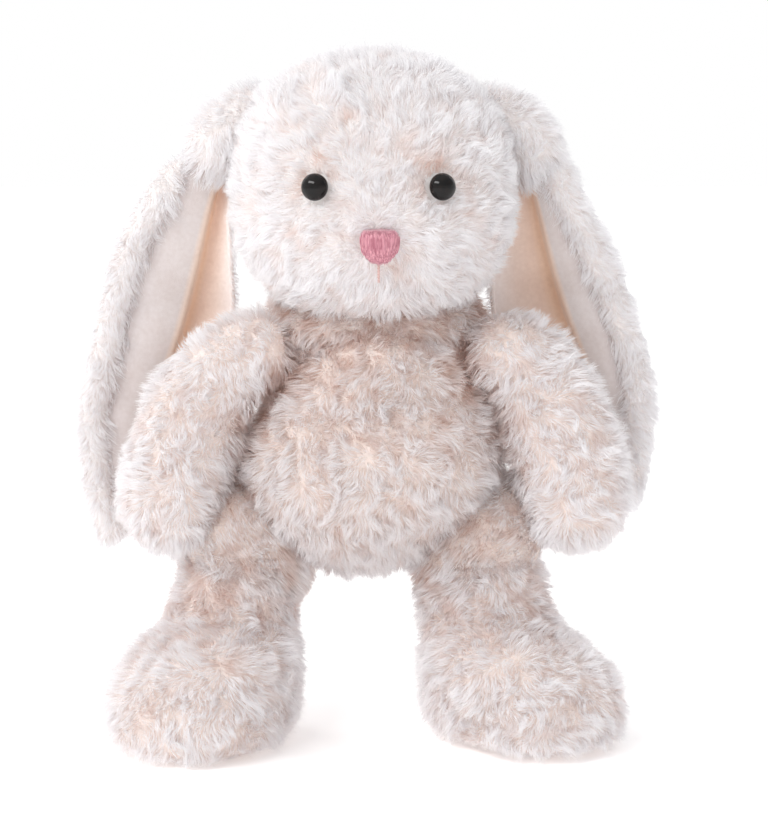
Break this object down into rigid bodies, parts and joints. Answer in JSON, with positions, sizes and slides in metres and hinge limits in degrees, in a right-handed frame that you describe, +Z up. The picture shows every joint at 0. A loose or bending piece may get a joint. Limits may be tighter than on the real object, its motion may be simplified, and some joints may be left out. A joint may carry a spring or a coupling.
{
  "type": "stuffed bunny",
  "caption": "Standing lop-eared plush bunny with long drooping lined ears, stuffed limbs that swing and fold, bead eyes and a stitched nose.",
  "frame": {"origin": "centre of the footprint box, on the surface that the feet stand on", "axes": "+Z up, -Y the way the bunny faces, +X to the bunny's own left"},
  "size_m": [0.262, 0.1453, 0.313],
  "materials": {
    "cream_fur": "long cream plush pile",
    "ear_velour": "short smooth velour",
    "polyester_fibre": "loose white fibre",
    "black_eye": "glossy black",
    "washer_plastic": "natural moulded",
    "nose_thread": "pink satin-stitched thread",
    "sewing_thread": "cream thread",
    "label_satin": "blank white satin"
  },
  "bodies": {
    "torso": {"body_front_panel": "cream_fur", "body_back_panel": "cream_fur", "body_stuffing": "polyester_fibre", "tail_cover": "cream_fur", "tail_stuffing": "polyester_fibre", "care_label": "label_satin", "neck_closing_thread": "sewing_thread"},
    "head": {"head_left_panel": "cream_fur", "head_right_panel": "cream_fur", "head_gusset_panel": "cream_fur", "head_stuffing": "polyester_fibre", "eye_left": "black_eye", "eye_right": "black_eye", "eye_left_washer": "washer_plastic", "eye_right_washer": "washer_plastic", "nose_embroidery": "nose_thread", "mouth_stitch": "nose_thread"},
    "arm_left": {"arm_left_front_panel": "cream_fur", "arm_left_back_panel": "cream_fur", "arm_left_stuffing": "polyester_fibre", "arm_left_closing_thread": "sewing_thread"},
    "leg_left": {"leg_left_outer_panel": "cream_fur", "leg_left_inner_panel": "cream_fur", "leg_left_sole": "cream_fur", "leg_left_stuffing": "polyester_fibre", "leg_left_closing_thread": "sewing_thread"},
    "ear_left": {"ear_left_fur": "cream_fur", "ear_left_lining": "ear_velour"},
    "arm_right": {"arm_right_front_panel": "cream_fur", "arm_right_back_panel": "cream_fur", "arm_right_stuffing": "polyester_fibre", "arm_right_closing_thread": "sewing_thread"},
    "leg_right": {"leg_right_outer_panel": "cream_fur", "leg_right_inner_panel": "cream_fur", "leg_right_sole": "cream_fur", "leg_right_stuffing": "polyester_fibre", "leg_right_closing_thread": "sewing_thread"},
    "ear_right": {"ear_right_fur": "cream_fur", "ear_right_lining": "ear_velour"}
  },
  "joints": [
    {"name": "head_nod", "type": "hinge", "parent": "torso", "child": "head", "pos_m": [0.004, 0.002, 0.187], "axis": [1, 0, 0], "range_deg": [0, 15], "stiffness_Nm_per_rad": 0.35, "springref_deg": -14.32},
    {"name": "ear_left_lift", "type": "hinge", "parent": "head", "child": "ear_left", "pos_m": [0.051, 0.006, 0.296], "axis": [0, -1, 0], "range_deg": [0, 110]},
    {"name": "ear_right_lift", "type": "hinge", "parent": "head", "child": "ear_right", "pos_m": [-0.051, 0.006, 0.296], "axis": [0, 1, 0], "range_deg": [0, 110]},
    {"name": "arm_left_swing", "type": "hinge", "parent": "torso", "child": "arm_left", "pos_m": [0.059, -0.014, 0.181], "axis": [-1, 0, 0], "range_deg": [0, 90], "stiffness_Nm_per_rad": 0.02, "springref_deg": -5.73},
    {"name": "arm_right_swing", "type": "hinge", "parent": "torso", "child": "arm_right", "pos_m": [-0.0515, -0.014, 0.181], "axis": [-1, 0, 0], "range_deg": [0, 90], "stiffness_Nm_per_rad": 0.02, "springref_deg": -5.73},
    {"name": "leg_left_fold", "type": "hinge", "parent": "torso", "child": "leg_left", "pos_m": [0, -0.04, 0.102], "axis": [-1, 0, 0], "range_deg": [0, 85], "stiffness_Nm_per_rad": 0.2, "springref_deg": -28.65},
    {"name": "leg_right_fold", "type": "hinge", "parent": "torso", "child": "leg_right", "pos_m": [0, -0.04, 0.102], "axis": [-1, 0, 0], "range_deg": [0, 85], "stiffness_Nm_per_rad": 0.2, "springref_deg": -28.65}
  ]
}
